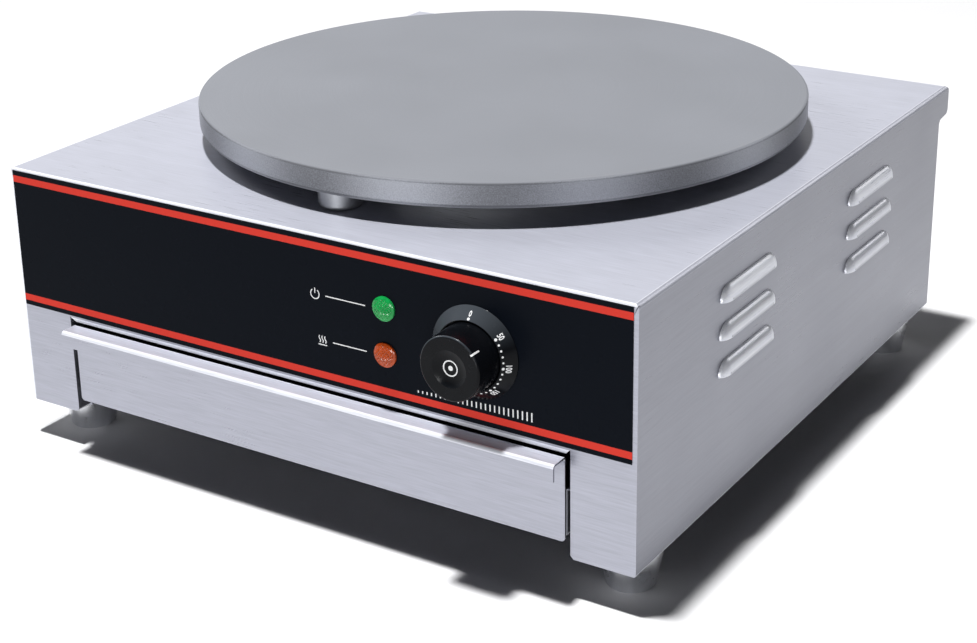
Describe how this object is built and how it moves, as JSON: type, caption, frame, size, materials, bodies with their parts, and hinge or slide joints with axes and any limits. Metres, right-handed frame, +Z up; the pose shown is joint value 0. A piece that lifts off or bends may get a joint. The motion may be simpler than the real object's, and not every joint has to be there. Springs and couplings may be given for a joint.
{
  "type": "electric crepe maker",
  "caption": "Countertop electric crepe maker: round cast iron griddle on posts over a folded stainless casing, with a thermostat dial, lamps and a pull-out tray drawer.",
  "frame": {"origin": "centre of the bounding box in plan, on the surface that the feet stand on", "axes": "+Z up; -Y the front, where the dial, the lamps and the drawer are; +X to the right as seen from the front"},
  "size_m": [0.459, 0.489, 0.2135],
  "materials": {
    "brushed_stainless": "fine brushed, satin",
    "zinc_sheet": "plain galvanised sheet",
    "plated_fasteners": "bright zinc plated",
    "griddle_iron": "machined top and rim, satin",
    "post_steel": "turned, satin",
    "foot_steel": "turned and polished",
    "panel_film": "satin printed film",
    "green_lens": "translucent, waffle face",
    "amber_lens": "translucent, waffle face",
    "black_plastic": "moulded, satin",
    "dial_plastic": "moulded, satin gloss",
    "element_sheath": "oxidised sheath, dull",
    "mineral_wool": "pressed fibre board",
    "copper_bulb": "drawn copper",
    "ceramic": "glazed",
    "brass": "turned"
  },
  "bodies": {
    "casing": {"back_panel": "brushed_stainless", "back_panel_screws": "plated_fasteners", "block_screws": "plated_fasteners", "cable_gland": "black_plastic", "capillary_tube": "copper_bulb", "control_panel_film": "panel_film", "dial_bezel": "dial_plastic", "drawer_rail_left": "zinc_sheet", "drawer_rail_right": "zinc_sheet", "earth_nuts": "brass", "earth_stud": "brass", "electrics_shelf": "zinc_sheet", "element_clamp_plate": "zinc_sheet", "foot_bolts": "plated_fasteners", "foot_front_left": "foot_steel", "foot_front_right": "foot_steel", "foot_rear_left": "foot_steel", "foot_rear_right": "foot_steel", "gland_dome_nut": "black_plastic", "gland_locknut": "black_plastic", "griddle_plate": "griddle_iron", "griddle_post_1": "post_steel", "griddle_post_2": "post_steel", "griddle_post_3": "post_steel", "heat_lamp_body": "black_plastic", "heat_lamp_lens": "amber_lens", "heat_shield_pan": "zinc_sheet", "heater_nuts": "plated_fasteners", "heater_studs": "plated_fasteners", "heating_element_inner": "element_sheath", "heating_element_outer": "element_sheath", "insulation_disc": "mineral_wool", "lamp_nuts": "plated_fasteners", "outer_casing": "brushed_stainless", "post_bolts": "plated_fasteners", "power_lamp_body": "black_plastic", "power_lamp_lens": "green_lens", "rail_screws": "plated_fasteners", "sensing_bulb": "copper_bulb", "terminal_block": "ceramic", "terminal_screws": "plated_fasteners", "thermostat_body": "black_plastic", "thermostat_screws": "plated_fasteners"},
    "knob": {"control_knob": "dial_plastic", "thermostat_shaft": "plated_fasteners"},
    "drawer": {"drawer_front": "brushed_stainless", "drawer_tray": "brushed_stainless"}
  },
  "joints": [
    {"name": "knob_turn", "type": "hinge", "parent": "casing", "child": "knob", "pos_m": [0.124, -0.2175, 0.1365], "axis": [0, 1, 0], "range_deg": [-52, 225]},
    {"name": "drawer_slide", "type": "slide", "parent": "casing", "child": "drawer", "axis": [0, -1, 0], "range_m": [0, 0.28]}
  ]
}
